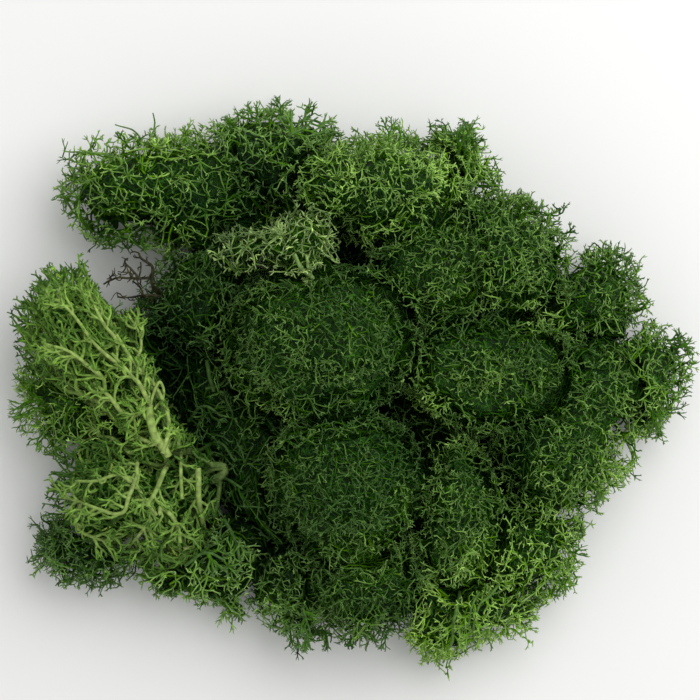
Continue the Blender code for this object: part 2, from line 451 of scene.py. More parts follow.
usual = {
    "dye": "green_moss",
    "forkSpacing": 1.35,    # between the last forks
    "coarser": 1.8,         # how much further apart each layer of forks below is
    # how deep each layer of forks lies, and how far it is drawn towards the foot
    "layers": [(0.5, 0), (1.8, 0.02), (3.7, 0.10), (6.2, 0.28), (8.0, 0.6)],
    "shapes": [(3, 3), (4, 3), (4, 5), (4, 6), (4, 6)],     # steps and sides of each layer's stems
    "thickness": [0.28, 0.36, 0.5, 0.8, 1.3, 1.8],          # at each layer, then at the foot
    "tipThickness": 0.3,
    "tipSteps": 2,          # rings along a tip
    "tipLength": 1.0,
    "tipSpread": 52,        # degrees
    "tips": (2, 2, 3, 3),   # how many a fork may have
    "sideShoots": (0.6, 0.6, 0.6),
    "curl": 0.45,
    "lump": 1.5,            # how far the gaps between two heads are set back
    "tuck": 0.8,            # the same between the small curls that make up a head
    "headRise": 1.1,        # how much lower some heads are than others
    "sink": 0.0,            # how far the whole tuft has settled between its neighbours
    # where it leans: a place in shares of its box, how wide, and how far in x and y
    "nudges": (),
    "foot": (0.5, 0.5, 0.02),       # in shares of its box
    "gather": (0.35, 0.35),         # the size of the foot, in shares of the tuft
    "sweep": 0.0,           # how far the tips point away from the foot, not from the surface
    "bareTo": 0.0,          # up to this share of the way from the foot there are no tips
    "strays": 0.08,         # share of forks that stand out
    "strayReach": 2.6,
    "coreDepth": 4.8,       # how deep the matted old stems lie
    "coreShare": 0.225,     # of the faces that the matted body keeps
    "coreRounding": 14,     # times that it is smoothed
    "toneShift": 0.0,     # lighter or darker than other tufts of the same dye
    "rimSprays": 0.35,      # share of the outermost forks that carry an open spray
    "matSpacing": 1.84,     # between the old stems that lie on the matted ones
    "matLength": 3.0,
    "innerTips": 1,         # on each fork under the surface
}

# tufts that lie on their side, so that their thick stems show
lying = {
    "dye": "bright_moss", "coarser": 1.45, "sweep": 0.7, "bareTo": 0.25, "headRise": 1.0,
    "lump": 1.0,
    "layers": [(0.3, 0), (0.9, 0.13), (1.5, 0.3), (2.1, 0.5), (2.6, 0.74)],
    "thickness": [0.46, 0.6, 0.85, 1.15, 1.6, 2.1], "tipThickness": 0.42,
    "shapes": [(2, 4), (3, 4), (3, 5), (4, 6), (4, 7)],
    "coreDepth": 6.0, "innerTips": 0, "sideShoots": (0.7, 0.7, 0.7), "strays": 0.04,
}

tufts = {
    "pale_tuft": {
        "dye": "pale_moss", "forkSpacing": 1.6, "tipLength": 1.2, "tipThickness": 0.34, "sink": 0.9,
        "thickness": [0.32, 0.4, 0.55, 0.8, 1.2, 1.5], "toneShift": 0.01, "headRise": 1.8,
        "nudges": [(0.08, 0.9, 6, 1.5, -1.5)],
    },
    "centre_tuft": {"toneShift": -0.19},
    "crown_tuft": {"toneShift": 0.22, "nudges": [(0.3, 1.0, 7, 0, -2), (0.87, 0.98, 6, 0, -2.5)]},
    "middle_tuft": {"toneShift": 0.04},
    "front_tuft": {"toneShift": -0.16},
    "back_right_tuft": {
        "toneShift": -0.03, "nudges": [(0.5, 1.0, 9, -1.5, -1.8), (0.92, 0.85, 8, -1.2, -1.6)],
    },
    "front_ridge_tuft": {"toneShift": 0.05},
    "inner_right_tuft": {"toneShift": -0.09},
    "left_head_tuft": {
        **lying, "forkSpacing": 1.75, "toneShift": -0.13, "tipLength": 1.3, "bareTo": 0.3,
        "sweep": 0.45, "curl": 0.6,
        "layers": [(0.3, 0), (0.9, 0.07), (1.6, 0.15), (2.3, 0.28), (2.9, 0.55)],
        "foot": (0.85, 0.08, 0.55), "gather": (0.12, 0.12),
        "nudges": [(0.63, 0.95, 8, -4, -6.5), (0.88, 0.66, 10, -5.2, -1.2), (0.95, 0.4, 7, -3.4, 0),
                   (0.03, 0.78, 7, 1.5, 0), (0.03, 0.55, 6, -0.8, 0)],
    },
    "right_front_tuft": {"nudges": [(0.96, 0.38, 6, 1.2, -1.2)]},
    "front_low_tuft": {
        "toneShift": -0.14, "nudges": [(0.25, 0.02, 8, 0, -1.3), (0.7, 0.02, 8, 0, -1.6)],
    },
    "left_fan_tuft": {
        **lying, "forkSpacing": 2.1, "tipLength": 1.4, "bareTo": 0.1, "toneShift": -0.35,
        "nudges": [(0.55, 0.02, 9, 0, -4.6)], "sweep": 0.55, "curl": 0.6,
        "layers": [(0.3, 0), (0.9, 0.1), (1.5, 0.2), (2.1, 0.36), (2.6, 0.62)],
        "foot": (0.95, 0.62, 0.6), "gather": (0.1, 0.5),
    },
    "back_sprig_tuft": {"strays": 0.2, "rimSprays": 0.6, "nudges": [(0.9, 0.6, 7, -2.6, -0.8)]},
    "right_shoulder_tuft": {
        "strays": 0.12, "toneShift": 0.03,
        "nudges": [(0.7, 0.95, 9, 0.3, 1.4), (0.95, 0.5, 9, 1.5, 0.3)],
    },
    "right_end_tuft": {
        "strays": 0.15, "rimSprays": 0.6, "toneShift": 0.09,
        "nudges": [(1.0, 0.75, 6, 1.6, 0), (0.85, 0.97, 5, 0, -1), (0.8, 0.3, 7, -1.5, 0.6)],
    },
    "front_right_tuft": {
        "toneShift": 0.19, "nudges": [(1.0, 0.65, 6, 1.6, 0.3), (0.75, 0.03, 7, 1.4, -1.7)],
    },
    "back_left_tuft": {
        "gather": (0.7, 0.3), "toneShift": 0.1, "forkSpacing": 1.65, "tipLength": 1.15,
        "tipThickness": 0.34,
        "nudges": [(0.05, 0.8, 8, -1.2, 1.6), (0.35, 0.92, 9, 0, 2.2), (0.6, 0.95, 8, 0, 2.2),
                   (0.16, 0.05, 8, 0, -2)],
        "thickness": [0.34, 0.44, 0.6, 0.9, 1.4, 1.9],
    },
    "back_tuft": {
        "dye": "deep_moss", "forkSpacing": 1.5, "toneShift": 0.22, "rimSprays": 0.7,
        "nudges": [(0.85, 0.92, 6, -1.6, -2.4)],
    },
    "left_inner_tuft": {"dye": "deep_moss", "forkSpacing": 1.5, "nudges": [(0.1, 0.3, 10, -6, -1)]},
    "front_right_edge_tuft": {
        "toneShift": 0.34, "nudges": [(0.3, 0.0, 8, 0, -1.4), (1.0, 0.5, 6, 1.3, 0)],
    },
    "front_edge_tuft": {
        "dye": "deep_moss", "toneShift": 0.12, "nudges": [(0.2, 0.15, 6, 1.5, 2)],
    },
    "left_side_tuft": {
        "forkSpacing": 1.7, "toneShift": 0.22, "tipLength": 1.3, "strays": 0.2, "rimSprays": 0.8,
        "nudges": [(0.02, 0.85, 6, -1.3, 0)],
    },
    "left_corner_tuft": {
        "dye": "deep_moss", "toneShift": 0.05,
        "nudges": [(0.02, 0.5, 9, -1.2, 0), (0.7, 0.05, 8, 0, -1.7)],
    },
    "left_front_tuft": {
        "dye": "deep_moss", "forkSpacing": 1.8, "toneShift": 0.2, "tipLength": 1.3,
        "nudges": [(0.3, 0.25, 9, -0.3, -2.2), (0.65, 0.08, 8, 0, -1.6),
                   (0.05, 0.5, 8, -2.4, -3.0)],
        "thickness": [0.4, 0.52, 0.7, 1.0, 1.4, 1.8], "tipThickness": 0.38,
    },
    "back_hollow_tuft": {"dye": "deep_moss", "forkSpacing": 1.8},
    "right_hollow_tuft": {"dye": "deep_moss", "forkSpacing": 1.8},
    "left_hollow_tuft": {
        "dye": "deep_moss", "forkSpacing": 2.0, "toneShift": -0.08,
        "thickness": [0.34, 0.44, 0.6, 0.9, 1.3, 1.8], "nudges": [(0.15, 0.8, 12, -7, 0)],
    },
}

solids = {node: solidOf(node) for node in tufts}


def treeOf(nodes):
    points, faces, count = [], [], 0
    for node in nodes:
        p, f = solids[node]
        points.append(p)
        faces.append(f + count)
        count += len(p)
    return BVHTree.FromPolygons(np.concatenate(points).tolist(), np.concatenate(faces).tolist())


surface = {
    "step": 1.5, "ball": 13.0,              # the grid, and the ball that is rolled over the clump
    "growOver": 9,                          # the most that stems rise to bridge a valley
    "crackWidth": 9, "crackShare": 0.45,    # how far they still grow into a listed crack
    "swell": ((2.6, 11, (0, 0, 0)), (0.9, 4.5, (7, 3, 1))),     # height, width and where it starts
    "reliefFrom": 12,                       # the height above which dips have their full depth
}


class Blanket:
    # the clump's top as a ball rolled over it would feel it, which bridges narrow valleys,
    # and the clump's outline seen from above
    def __init__(self, tree, step, radius):
        low, high = (np.array(v) / mm for v in cadBounds)
        self.step, self.corner = step, low[:2] - 2 * radius
        shape = np.ceil((high[:2] - low[:2] + 4 * radius) / step).astype(int)
        top = np.full(shape, -60.0)     # far under the floor where there is no tuft
        for i in range(shape[0]):
            for j in range(shape[1]):
                x, y = self.corner + step * np.array((i, j))
                hit = tree.ray_cast((x, y, surveying["above"]), (0, 0, -1))[0]
                if hit is not None:
                    top[i, j] = hit[2]
        empty = top < 0
        beside = np.zeros_like(empty)
        for axis in (0, 1):
            for way in (-1, 1):
                beside |= np.roll(~empty, way, axis)
        self.outline = self.corner + step * np.argwhere(empty & beside)
        reach = int(radius / step)
        near = range(-reach, reach + 1)
        self.ball = [(i, j, math.sqrt(radius ** 2 - step ** 2 * (i * i + j * j)))
                     for i in near for j in near if step * math.hypot(i, j) < radius]
        self.reach = reach
        self.top = self.rolled(self.rolled(top, 1), -1)

    def rolled(self, grid, side):
        # the ball's middle over each place, or the surface that its underside touches
        wide = np.pad(side * grid, self.reach, mode="edge")
        rows, columns = grid.shape
        found = np.full(grid.shape, -1e9)
        for i, j, drop in self.ball:
            row, column = self.reach + i, self.reach + j
            found = np.maximum(found, wide[row:row + rows, column:column + columns] + drop)
        return side * found

    def heightAt(self, place):
        at = (place[:, :2] - self.corner) / self.step
        cell = np.clip(at.astype(int), 0, np.array(self.top.shape) - 2)
        part = np.clip(at - cell, 0, 1)
        i, j = cell.T
        a = self.top[i, j] * (1 - part[:, 0]) + self.top[i + 1, j] * part[:, 0]
        b = self.top[i, j + 1] * (1 - part[:, 0]) + self.top[i + 1, j + 1] * part[:, 0]
        return a * (1 - part[:, 1]) + b * part[:, 1]

    def rimAt(self, place, width):
        # 1 at the outline, 0 well inside it
        flat = np.concatenate([place[:, :2], np.zeros((len(place), 1))], 1)
        outline = np.concatenate([self.outline, np.zeros((len(self.outline), 1))], 1)
        return fading(nearest(flat, outline)[1], width)


def overgrown(node, place, normal):
    # how far up the stems grow into the valley beside the next tuft; the listed cracks stay open
    names = [other for other in solids if other != node]
    others = treeOf(names)
    owner = np.repeat(np.arange(len(names)), [len(solids[other][1]) for other in names])
    share = np.zeros(len(place))
    for i, (p, n) in enumerate(zip(place, normal)):
        if whole.ray_cast(p + 0.2 * n, (0, 0, 1), surveying["above"])[3] is None:
            _, _, face, distance = others.find_nearest(p)
            crack = frozenset((node, names[owner[face]])) in cracks
            narrow = crack and distance < surface["crackWidth"]
            share[i] = surface["crackShare"] if narrow else 1.0
    return np.clip(share * (blanket.heightAt(place) - place[:, 2]), 0, surface["growOver"])


# dips and patches of lighter tone: a place in shares of the clump's box, how wide in x and y,
# how far down, and how much painted shade lies in it (a lighter tone below 0)
dipsAndShade = [
    # right of the left head
    (0.215, 0.64, 4, 5.5, 4, 0.15), (0.24, 0.53, 5.5, 10.5, 8.5, 0.65), (0.217, 0.61, 2, 2, 2, 0.2),
    (0.24, 0.685, 3.2, 4.5, 0, -0.25),
    # underside of the back left roll
    (0.26, 0.81, 7, 3.2, 2.5, 0.5), (0.14, 0.74, 6, 2.4, 0, 0.3), (0.2, 0.745, 4.5, 2.6, 0.5, 0.35),
    # below the back tufts
    (0.35, 0.82, 9, 4, 6, 0.35), (0.38, 0.855, 3.8, 4, 4.5, 0.4), (0.335, 0.77, 5, 4, 3.5, 0.55),
    (0.56, 0.83, 4.5, 4, 1, 0.12),
    # beside the pale tuft
    (0.498, 0.75, 2.8, 6.5, 8, 0.3), (0.484, 0.71, 2.3, 2, 2.5, 0.25),
    (0.54, 0.71, 2.5, 2.2, 2.5, 0.25),
    # the centre's right flank
    (0.46, 0.535, 3.4, 5, 1, 0.25), (0.54, 0.48, 3.4, 7, 2, 0.3),
    # both sides of the front ridge
    (0.599, 0.321, 1.8, 11, 2.5, 0), (0.732, 0.321, 2.8, 10, 6, 0.25),
    # where the domes meet
    (0.575, 0.39, 3.4, 6, 4.5, 0.38), (0.69, 0.37, 5, 2.3, 3, 0.25), (0.75, 0.41, 5.5, 4, 3, 0.42),
    (0.679, 0.593, 5, 2.8, 3.5, 0.15), (0.606, 0.619, 2, 6, 2, 0),
    (0.835, 0.61, 1.6, 3.2, 2.5, 0.3), (0.73, 0.69, 4, 3, 1, 0.25),
    # the hollow behind the fan
    (0.29, 0.3, 4.8, 8, 6, 0.55), (0.32, 0.45, 2.5, 4.5, 1.5, 0.2), (0.147, 0.29, 5, 6.3, 1, 0.2),
    (0.34, 0.2, 4.5, 2, 2.5, 0.25),
    # the front tuft and its foot, and the centre
    (0.49, 0.28, 6, 6, 0.5, 0.15), (0.59, 0.21, 1.6, 3, 1.5, 0.25), (0.57, 0.11, 4, 2.8, 1, 0.3),
    (0.46, 0.53, 4, 3, 0, 0.15),
    # patches of lighter tone
    (0.859, 0.338, 11, 9, 0, -0.14), (0.53, 0.195, 6.5, 5, -1, -0.38), (0.55, 0.9, 14, 6, 0, -0.08),
    (0.65, 0.1, 12, 7, 0, -0.08), (0.23, 0.9, 5, 2.5, 0, -0.2), (0.4, 0.955, 8, 2.7, 0, -0.2),
    (0.66, 0.89, 6.3, 6.3, 0, -0.42), (0.4, 0.625, 3.2, 3.6, 0, -0.22),
    (0.355, 0.455, 4.3, 5.5, 0, -0.38), (0.61, 0.47, 3.6, 7, 0, -0.3), (0.71, 0.5, 4, 4, 0, -0.2),
    (0.49, 0.87, 4, 4, 0, -0.15), (0.15, 0.81, 3, 4, 0, -0.15), (0.775, 0.615, 6.3, 2.5, -1, -0.25),
    (0.08, 0.45, 7, 5, 0, -0.35), (0.16, 0.41, 6.5, 4, 0, -0.35), (0.69, 0.18, 6.5, 6, -1, -0.4),
    (0.66, 0.65, 4, 4, 0, -0.25), (0.58, 0.275, 2, 4.5, -1, -0.25), (0.925, 0.44, 6.3, 9, 0, -0.25),
    (0.41, 0.1, 9, 3.4, 0, -0.3), (0.26, 0.165, 6.7, 3, 0, -0.3), (0.2, 0.19, 5, 4, 0, -0.25),
]


def dipsAndShadeAt(place):
    low, high = (np.array(v) / mm for v in cadBounds)
    down, paintedShade = np.zeros(len(place)), np.zeros(len(place))
    for u, v, wide, deep, drop, dark in dipsAndShade:
        x, y = low[:2] + (high - low)[:2] * (u, v)
        near = np.exp(-((place[:, 0] - x) / wide) ** 2 - ((place[:, 1] - y) / deep) ** 2)
        down += drop * near
        # the painted shade in each dip, lighter tone where it is below 0
        paintedShade += dark * near
    return down * np.clip(place[:, 2] / surface["reliefFrom"], 0, 1), paintedShade


def nudged(node, habit, place):
    moved = place.copy()
    for u, v, wide, x, y in habit["nudges"]:
        middle = boxPoint(node, (u, v, 0))[:2]
        near = np.exp(-(((place[:, :2] - middle) / wide) ** 2).sum(1))
        moved[:, :2] += near[:, None] * (x, y)
    return moved


def swellAt(place):
    # low swellings and dips, about a centimetre across, over the whole clump
    return sum(height * np.array([noise.noise(p / width + np.array(origin)) for p in place])
               for height, width, origin in surface["swell"])


surveying = {
    "crowd": 3.2, "apart": 0.88,    # places tried for each kept, and how close in shares of spacing
    "underside": (1.2, -0.3),       # nothing grows below this height on faces that look down
    "deepest": 40.0, "above": 200.0,        # how far the rays go, inwards and outwards
    # outlooks: degrees above the floor, how many around, and how much each counts
    "straightDown": 3.0, "outlooks": ((60, 5, 1.0), (20, 9, 0.6)),
    "glancing": 0.05, "frontal": 1.5,       # what faces away counts less
    "open": 0.12,                           # the share from which a place lies in the open
}


def outlooks():
    # directions from which the clump may be looked at, and how much each counts
    ways, weights = [(0, 0, 1)], [surveying["straightDown"]]
    for height, count, weight in surveying["outlooks"]:
        for i in range(count):
            turn = 2 * math.pi * (i + height / 90) / count
            flat, up = math.cos(math.radians(height)), math.sin(math.radians(height))
            ways.append((flat * math.cos(turn), flat * math.sin(turn), up))
            weights.append(weight)
    return np.array(ways), np.array(weights)


def opennessOf(tree, place, normal):
    # the share of outlooks that reach each point, between 0 and 1
    ways, weights = outlooks()
    facing = normal @ ways.T
    seen = np.zeros(len(place))
    for i, (p, n) in enumerate(zip(place, normal)):
        start = p + 0.15 * n
        for way, weight, front in zip(ways, weights, facing[i]):
            facesIt = front > surveying["glancing"]
            if facesIt and tree.ray_cast(start, way, surveying["above"])[3] is None:
                seen[i] += weight * min(1.0, front * surveying["frontal"])
    return seen / weights.sum()


def survey(node, habit, tree, rng):
    # places for the last forks, spread evenly over the solid
    spacing = habit["forkSpacing"]
    place, normal = spreadOver(*solids[node], spacing, surveying["crowd"], rng)
    low, down = surveying["underside"]
    bottom = (place[:, 2] < low) & (normal[:, 2] < down)
    place, normal = place[~bottom], normal[~bottom]
    kept = thinOut(place, spacing * surveying["apart"])
    place, normal = place[kept], normal[kept]
    inside = treeOf([node])
    thick = rayDistances(inside, place - 0.2 * normal, -normal, surveying["deepest"])
    return place, normal, thick, opennessOf(tree, place, normal)


growing = {
    "roomAt": 16, "leastRoom": 0.25,        # layers lie closer where a solid is thinner than this
    # a head's reach and a curl's in shares of their spacing, and how the heads differ in height
    "headWidth": 0.75, "headSpread": (-0.4, 1.0), "curlWidth": 0.6,
    "shift": 0.2,                           # of forks out of an even layer, also in shares of it
    "lowest": 0.6, "lowestRoot": 1.0, "rootSpacing": 4.0, "rootLean": 0.3,
    "straight": 0.9, "leastStraight": 0.5,  # how much a stem sets off towards its end
    "outwards": 0.5, "lateCurl": 1.4,       # how it arrives there
    # what the tone depends on: roots, then patches, painted shade where few outlooks reach a place
    # with a little painted light where most do, and painted light along the clump's rim, where thin
    # stems let light through
    "rootDye": 0.45, "rootDyeSpread": 0.1,
    "dye": 0.42, "patchDye": 0.2, "openShadeAndLight": 0.3, "rimLight": 0.12,
    "inherits": 0.6, "ownDye": 0.4, "dyeSpread": 0.12,
    "shootSpread": 70, "innerSpread": 75, "innerLonger": 1.5,       # degrees; in tip lengths
    "sprayRim": 0.55, "sprayUpTo": 0.75, "spraySpacing": 2.6, "sprayFrom": 1.5,
}


def growTuft(growth, node, habit, kept, rng):
    place, normal, thick, rim, openness, paintedShade = kept
    foot = boxPoint(node, habit["foot"])
    rootOf = foot + (place - foot) * np.array([*habit["gather"], 0.0])
    normal = unit((1 - habit["sweep"]) * normal + habit["sweep"] * unit(place - foot))
    room = np.clip(thick / growing["roomAt"], growing["leastRoom"], 1)[:, None]
    spacings = [habit["forkSpacing"] * habit["coarser"] ** k for k in range(len(habit["layers"]))]

    # heads: the fourth layer's groups, each a small dome; curls: the third layer's
    heads = place[thinOut(place, spacings[3])]
    own, fromHead = nearest(place, heads)
    rise = rng.uniform(*growing["headSpread"], len(heads))[own]
    fromHead = np.clip(fromHead / (growing["headWidth"] * spacings[3]), 0, 1.2)
    setBack = habit["lump"] * fromHead ** 2
    setBack = setBack + habit["headRise"] * rise
    curls = place[thinOut(place, spacings[2])]
    fromCurl = nearest(place, curls)[1] / (growing["curlWidth"] * spacings[2])
    setBack = setBack + habit["tuck"] * np.clip(fromCurl, 0, 1.3) ** 2
    stray = (rng.random(len(place)) < habit["strays"]) * habit["strayReach"]
    stray = stray * rng.random(len(place))
    place = place + normal * (stray - setBack * room[:, 0])[:, None]

    # each layer of forks lies deeper and further apart, and nearer to the foot
    layers, source = [], np.arange(len(place))
    for k, (depth, share) in enumerate(habit["layers"]):
        moved = (place - normal * depth * room) * (1 - share) + rootOf * share
        if k:
            source = source[thinOut(moved[source], spacings[k])]
        shift = rng.normal(size=(len(source), 3)) * growing["shift"] * spacings[k]
        if k > 1:
            # the old forks never shift outwards, and hardly at all where the tuft is thin
            outward = np.maximum((shift * normal[source]).sum(1, keepdims=True), 0)
            shift = (shift - outward * normal[source]) * room[source]
        spot = moved[source] + shift
        spot[:, 2] = np.maximum(spot[:, 2], growing["lowest"])
        layers.append({"at": spot, "plain": moved, "source": source})
    roots = rootOf[source]
    roots = roots[thinOut(roots, growing["rootSpacing"])]
    roots[:, 2] = np.maximum(roots[:, 2], growing["lowestRoot"])
    layers.append({"at": roots, "plain": rootOf, "source": None})
    top = len(layers) - 1
    for k in range(top):
        own = layers[k + 1]["plain"][layers[k]["source"]]
        layers[k]["parent"] = oneOfNearest(own, layers[k + 1]["at"], 3 if k < 2 else 1, rng)

    # patches of stronger or weaker dye, a few centimetres across
    swirl = np.sin(place @ rng.normal(size=(3, 4)) * 0.12 + rng.random(4) * 6).sum(1) / 4
    dye = growing["dye"] + growing["patchDye"] * swirl + habit["toneShift"]
    # painted shade where few outlooks reach a place and in the listed dips; a little painted light
    # where most outlooks reach it
    dye = dye + growing["openShadeAndLight"] * np.clip(openness - 0.5, -0.5, 0.15) - paintedShade
    # painted light along the clump's rim
    dye = dye + growing["rimLight"] * rim

    # from the foot outwards, so that each stem leaves the way its parent was going
    lean = growing["rootLean"] * rng.normal(size=(len(roots), 3))
    going = unit(np.array([[0, 0, 1.0]]) + lean)
    tone = growing["rootDye"] + habit["toneShift"]
    tone = tone + growing["rootDyeSpread"] * rng.normal(size=len(roots))
    thickness = habit["thickness"]
    for k in range(top - 1, -1, -1):
        here, parent, source = layers[k], layers[k]["parent"], layers[k]["source"]
        start, end = layers[k + 1]["at"][parent], here["at"]
        n = len(end)
        chord = unit(end - start + 1e-6)
        leaving = going[parent] + growing["straight"] * chord
        leaving = unit(leaving + habit["curl"] * rng.normal(size=(n, 3)))
        # no stem sets off backwards, which would throw a bare loop out of the tuft
        straight = (leaving * chord).sum(1, keepdims=True)
        leaving = unit(leaving + np.maximum(growing["leastStraight"] - straight, 0) * chord)
        arriving = chord + growing["outwards"] * normal[source]
        curl = growing["lateCurl"] * habit["curl"]
        arriving = unit(arriving + curl * rng.normal(size=(n, 3)))
        tone = growing["inherits"] * tone[parent] + growing["ownDye"] * dye[source]
        tone = tone + growing["dyeSpread"] * rng.normal(size=n)
        radii = [0.5 * thickness[j] * varied(0.3, n, rng) for j in (k + 1, k)]
        ages = np.full(n, (k + 1) * (1 / top)), np.full(n, k * (1 / top) + 0.04)
        addStems(growth, start, leaving, arriving, end, radii, ages, tone, *habit["shapes"][k],
                 False, rng)
        young = ages[1][0]
        if k < 3:
            # side shoots from the middle of each curve
            some = rng.random(n) < habit["sideShoots"][k]
            length = np.linalg.norm(end - start, axis=1, keepdims=True)
            middle = 0.5 * (start + end) + 0.14 * (leaving - arriving) * length
            addTips(growth, middle[some], chord[some], tone[some], habit, young + 0.08, 1.0,
                    growing["shootSpread"], rng)
        if k in (1, 2):
            more = np.repeat(np.arange(n), habit["innerTips"])
            addTips(growth, end[more], arriving[more], tone[more], habit, young,
                    growing["innerLonger"], growing["innerSpread"], rng)
        going = arriving

    # the forked ends
    edge, ends = layers[0]["source"], layers[0]["at"]
    outward = unit(going + growing["outwards"] * normal[edge])
    which = np.repeat(np.arange(len(outward)), rng.choice(habit["tips"], len(outward)))
    addTips(growth, ends[which], outward[which], tone[which], habit, 0.1, 1.0,
            habit["tipSpread"], rng)

    # open sprays that reach past the outline
    some = (rng.random(len(edge)) < habit["rimSprays"]) & (rim[edge] > growing["sprayRim"])
    some = np.flatnonzero(some & (normal[edge][:, 2] < growing["sprayUpTo"]))
    if len(some):
        some = some[thinOut(ends[some], growing["spraySpacing"])]
        way = unit(normal[edge[some]] * (1, 1, 0.3) + 0.35 * rng.normal(size=(len(some), 3)))
        addSprays(growth, ends[some] - growing["sprayFrom"] * way, way,
                  2.2 + 2.6 * rng.random(len(some)), tone[some] - 0.05, habit,
                  {**spray, "levels": 2, "steps": 2, "sides": 3, "thick": (0.38, 0.26)}, rng)


# an open forked spray, as at the edges of the clump
spray = {
    "levels": 4, "spread": 30, "thick": (0.5, 0.3), "ages": (0.5, 0.15),
    "shrink": 0.85, "flatness": 0.0, "splits": (2, 2, 3), "steps": 3, "sides": 4,
}


def between(pair, share):
    return pair[0] + (pair[1] - pair[0]) * share


def addSprays(growth, at, going, reach, tone, habit, look, rng, flatTo=None):
    # each level of stems splits into the next; flatTo holds the normals of what they lie on
    sizes = look["shrink"] ** np.arange(look["levels"] + 1)
    sizes = sizes / sizes.sum()
    going = unit(going)
    for k in range(look["levels"]):
        way = going
        if k:
            which = np.repeat(np.arange(len(at)), rng.choice(look["splits"], len(at)))
            at, going, tone, reach = at[which], going[which], tone[which], reach[which]
            flatTo = None if flatTo is None else flatTo[which]
            way = turned(going, look["spread"], 0.6, 0.8, rng)
        if flatTo is not None:
            way = unit(way - look["flatness"] * flatTo * (way * flatTo).sum(1, keepdims=True))
        n = len(at)
        end = at + way * (reach * sizes[k] * varied(0.5, n, rng))[:, None]
        arriving = unit(way + 0.8 * habit["curl"] * rng.normal(size=(n, 3)))
        share = np.array([k, k + 1]) / look["levels"]
        thick, age = between(look["thick"], share), between(look["ages"], share)
        radii = [0.5 * t * varied(0.2, n, rng) for t in thick]
        addStems(growth, at, unit(going + way), arriving, end, radii,
                 [np.full(n, a) for a in age], tone, look["steps"], look["sides"], False, rng)
        at, going = end, arriving
        tone = tone + 0.04 * rng.normal(size=n)
    which = np.repeat(np.arange(len(at)), rng.choice(look["splits"], len(at)))
    ends = {**habit, "tipThickness": look["thick"][1] * 0.95,
            "tipLength": (reach * sizes[-1]).mean()}
    addTips(growth, at[which], going[which], tone[which], ends, look["ages"][1], 1.0,
            look["spread"], rng)


def spotOn(node, share, rise):
    # a place over a tuft: on its solid where only two shares are given, else in its box
    if len(share) == 3:
        return boxPoint(node, share)
    x, y, _ = boxPoint(node, (*share, 0))
    hit = treeOf([node]).ray_cast((x, y, surveying["above"]), (0, 0, -1))[0]
    height = hit[2] if hit is not None else boxPoint(node, (0, 0, 0.3))[2]
    return np.array([x, y, height + rise])


def addLimb(growth, node, shares, rise, thick, ages, tone, rng, crooked=0.35):
    # one old stem laid through the given places; returns points and directions along it
    spots = np.array([spotOn(node, share, rise) for share in shares])
    lead = np.concatenate([[2 * spots[0] - spots[1]], spots, [2 * spots[-1] - spots[-2]]])
    ways = unit(lead[2:] - lead[:-2])
    n = len(spots) - 1
    share = np.linspace(0, 1, n + 1)
    radius, age = 0.5 * between(thick, share), between(ages, share)
    wobble = spots + crooked * rng.normal(size=spots.shape)
    addStems(growth, wobble[:-1], ways[:-1], ways[1:], wobble[1:], (radius[:-1], radius[1:]),
             (age[:-1], age[1:]), np.full(n, tone), 6, 7, False, rng)
    return wobble, ways


def addTips(growth, start, going, tone, habit, age, longer, spread, rng):
    # short pointed ends that curl away from the way their stem was going
    n = len(start)
    way = turned(going, spread, 0.55, 0.7, rng)
    length = habit["tipLength"] * longer * varied(0.8, (n, 1), rng)
    end = start + way * length
    end[:, 2] = np.maximum(end[:, 2], 0.25)
    arriving = unit(way + 1.2 * habit["curl"] * across(way, rng) * 2)
    leaving = unit(way + 0.6 * going)
    r0 = 0.5 * habit["tipThickness"] * varied(0.3, n, rng)
    ages = np.full(n, age), np.full(n, max(age - 0.15, 0.0))
    addStems(growth, start, leaving, arriving, end, (r0, r0 * 0.75), ages,
             tone + 0.05 * rng.normal(size=n), habit["tipSteps"], 3, True, rng)


def evaluated(body):
    return readMesh(body.evaluated_get(bpy.context.evaluated_depsgraph_get()).to_mesh())


def bodyFrom(points, faces):
    mesh = bpy.data.meshes.new("matting")
    mesh.from_pydata((points * mm).tolist(), [], faces.tolist())
    return newObject("matting", mesh)


heart = {
    "voxel": 1.4,
    # how the tufts' sides stay full where others press on them: away from the open, and by the rim
    "openWithin": 1.5, "openFade": 2.5, "liftFade": 1.5, "rimShare": 6.0,
    "rimDepth": 3.0, "rimWidth": 5.0,       # how much deeper it lies by the rim
    "mostOfThickness": 0.42,
    "lumps": ((4.0, 2.0), (1.7, 1.5)),      # how wide and how high
    "dye": 0.4, "dyeSpread": 0.15,
    "stemsWithin": 10, "stemDye": 0.45, "stemDyeSpread": 0.2, "stemAges": (0.5, 0.4),
}


def addModifier(body, kind, settings):
    made = body.modifiers.new(kind.lower(), kind)
    for name, value in settings.items():
        setattr(made, name, value)


